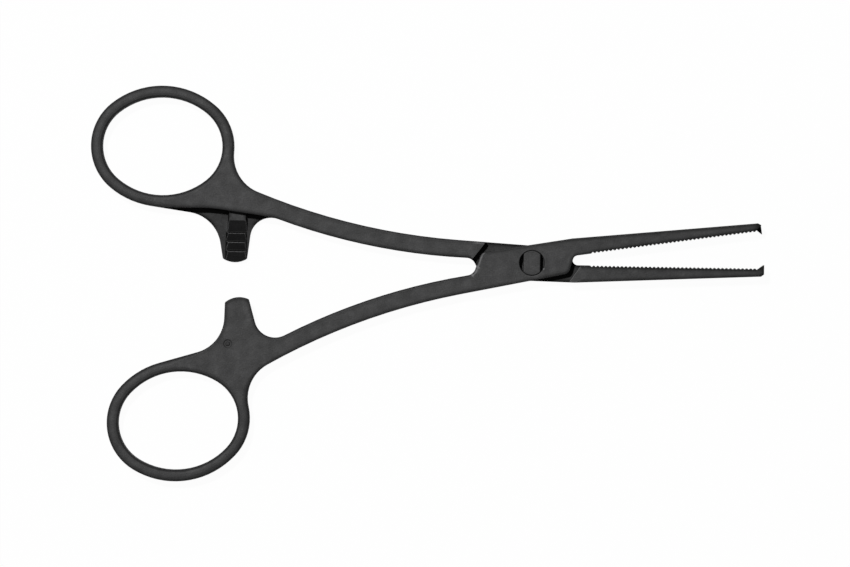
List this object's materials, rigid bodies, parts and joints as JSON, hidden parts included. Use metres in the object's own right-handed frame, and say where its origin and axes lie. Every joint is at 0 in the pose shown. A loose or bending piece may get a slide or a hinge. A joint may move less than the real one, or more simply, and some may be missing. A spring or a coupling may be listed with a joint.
{
  "type": "locking artery forceps",
  "caption": "Moulded plastic locking artery forceps: crossed halves with finger rings, a ratchet, a lap joint on a bayonet stud and fine-toothed jaws with hooked tips.",
  "frame": {"origin": "on the pivot axis, in the flat underside that the forceps lie on", "axes": "+X from the pivot towards the jaw tips along the middle line between the halves, +Z along the pivot axis, away from the surface that the forceps lie on"},
  "size_m": [0.1382, 0.0822, 0.005],
  "materials": {
    "moulded_plastic": "fine matte spark-eroded grain, moulded in the colour"
  },
  "bodies": {
    "rear": {"rear_half": "moulded_plastic"},
    "front": {"front_half": "moulded_plastic"}
  },
  "joints": [
    {"name": "pivot", "type": "hinge", "parent": "rear", "child": "front", "pos_m": [0, 0, 0], "axis": [0, 0, 1], "range_deg": [-9.4, 66]}
  ]
}
